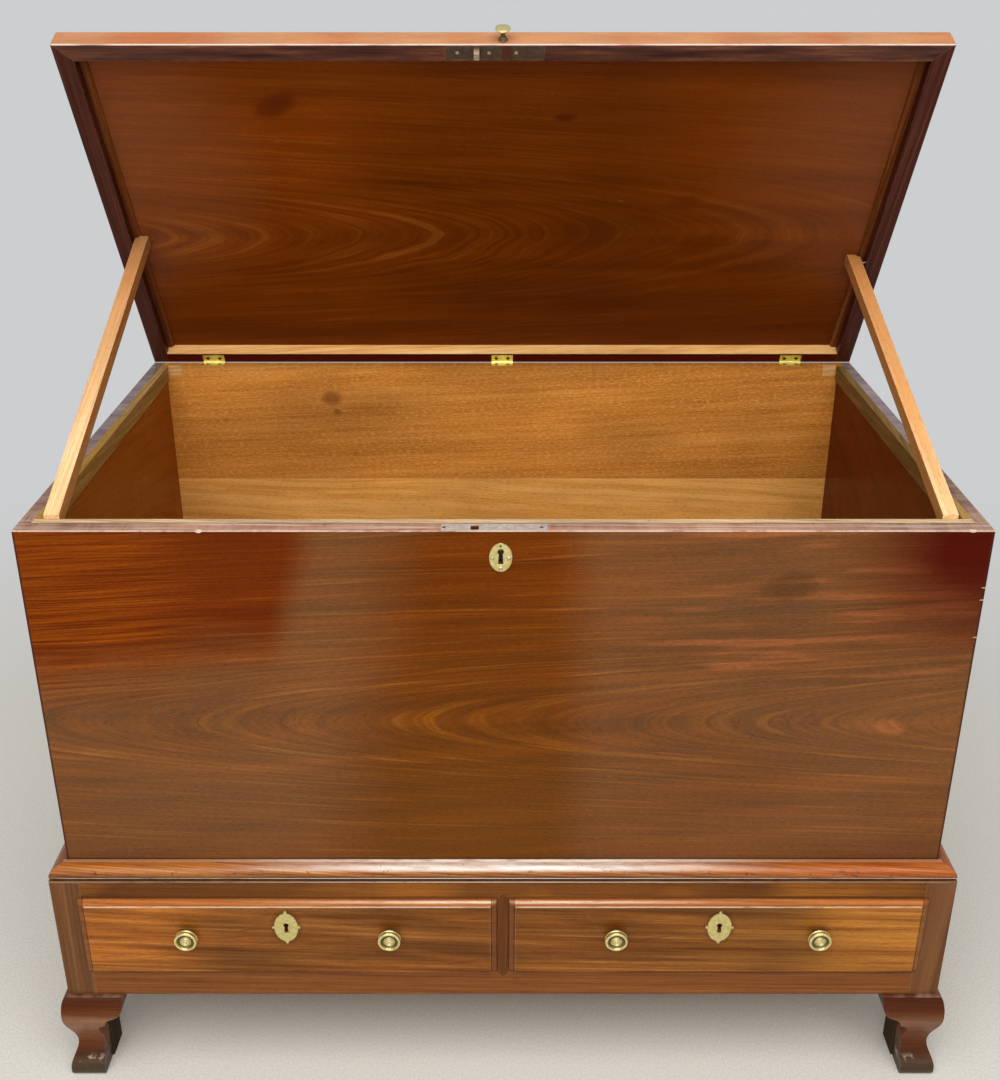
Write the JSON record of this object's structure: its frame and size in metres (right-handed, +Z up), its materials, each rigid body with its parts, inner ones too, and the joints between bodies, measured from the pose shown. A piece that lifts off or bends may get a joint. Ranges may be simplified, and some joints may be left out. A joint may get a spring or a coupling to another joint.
{
  "type": "silver chest on stand",
  "caption": "Mahogany silver chest with a lid propped open on wooden stays, on a low stand with lipped drawers and ogee bracket feet",
  "frame": {"origin": "on the floor under the middle of the bounding box, with the lid propped open", "axes": "+X to the chest's left as the viewer sees its right side, +Y from the front to the back, +Z up"},
  "size_m": [1.37, 0.7454, 1.5735],
  "materials": {
    "mahogany_front": "polished french polish, flame figure, horizontal grain",
    "mahogany_side": "polished, darker, plain grain",
    "mahogany_golden": "polished, golden brown with ribbon stripes",
    "mahogany_moulding": "polished orange-brown moulding",
    "oak": "unpolished, aged, short flecks",
    "pale_wood": "bare pale wood, lightly cracked",
    "old_brass": "polished with dull hollows",
    "hinge_brass": "brighter yellow brass",
    "lock_metal": "worn grey metal with some rust brown"
  },
  "bodies": {
    "root": {"front_board": "mahogany_front", "side_board_left": "mahogany_side", "side_board_right": "mahogany_side", "back_board_upper": "oak", "back_board_lower": "oak", "back_corner_patches": "pale_wood", "chest_bottom": "oak", "side_battens": "pale_wood", "front_batten": "pale_wood", "lock_case": "lock_metal", "lock_selvedge": "lock_metal", "chest_escutcheon": "old_brass", "chest_screws": "lock_metal", "hinge_chest_leaves": "hinge_brass", "hinge_pins": "hinge_brass", "waist_moulding_front": "mahogany_moulding", "waist_moulding_sides": "mahogany_moulding", "stand_top_rail": "mahogany_golden", "stand_bottom_rail": "mahogany_golden", "stand_posts": "mahogany_side", "centre_divider": "mahogany_side", "stand_side_left": "mahogany_side", "stand_side_right": "mahogany_side", "stand_back": "oak", "drawer_runners": "oak", "drawer_guides": "oak", "drawer_kickers": "oak", "foot_front_left": "mahogany_side", "foot_front_right": "mahogany_side", "foot_rear_left": "mahogany_side", "foot_rear_right": "mahogany_side", "foot_blocks": "oak"},
    "lid": {"lid_panel": "mahogany_side", "lid_front_rail": "mahogany_side", "lid_side_rail_left": "mahogany_side", "lid_side_rail_right": "mahogany_side", "lid_rear_rail": "pale_wood", "lid_slips": "mahogany_side", "lid_knob": "old_brass", "lock_link_plate": "lock_metal", "lock_staple": "lock_metal", "hinge_lid_leaves": "hinge_brass", "lid_screws": "lock_metal"},
    "stay_left": {"stay_left": "pale_wood"},
    "stay_right": {"stay_right": "pale_wood"},
    "drawer_left": {"drawer_left_front": "mahogany_golden", "drawer_left_sides": "oak", "drawer_left_back": "oak", "drawer_left_bottom": "oak", "drawer_left_knobs": "old_brass", "drawer_left_escutcheon": "old_brass", "drawer_left_lock": "lock_metal"},
    "drawer_right": {"drawer_right_front": "mahogany_golden", "drawer_right_sides": "oak", "drawer_right_back": "oak", "drawer_right_bottom": "oak", "drawer_right_knobs": "old_brass", "drawer_right_escutcheon": "old_brass", "drawer_right_lock": "lock_metal"}
  },
  "joints": [
    {"name": "lid_hinge", "type": "hinge", "parent": "root", "child": "lid", "pos_m": [0, 0.3396, 0.9544], "axis": [1, 0, 0], "range_deg": [0, 62.7]},
    {"name": "stay_left_pivot", "type": "hinge", "parent": "lid", "child": "stay_left", "pos_m": [-0.6095, 0.21982, 1.20914], "axis": [1, 0, 0], "range_deg": [0, 16.26]},
    {"name": "stay_right_pivot", "type": "hinge", "parent": "lid", "child": "stay_right", "pos_m": [0.6035, 0.23909, 1.17182], "axis": [1, 0, 0], "range_deg": [0, 20.45]},
    {"name": "drawer_left_slide", "type": "slide", "parent": "root", "child": "drawer_left", "axis": [0, -1, 0], "range_m": [0, 0.4]},
    {"name": "drawer_right_slide", "type": "slide", "parent": "root", "child": "drawer_right", "axis": [0, -1, 0], "range_m": [0, 0.4]}
  ],
  "couplings": [
    {"joint": "stay_left_pivot", "follows": "lid_hinge", "ratio": 0.25938},
    {"joint": "stay_right_pivot", "follows": "lid_hinge", "ratio": 0.32618}
  ]
}
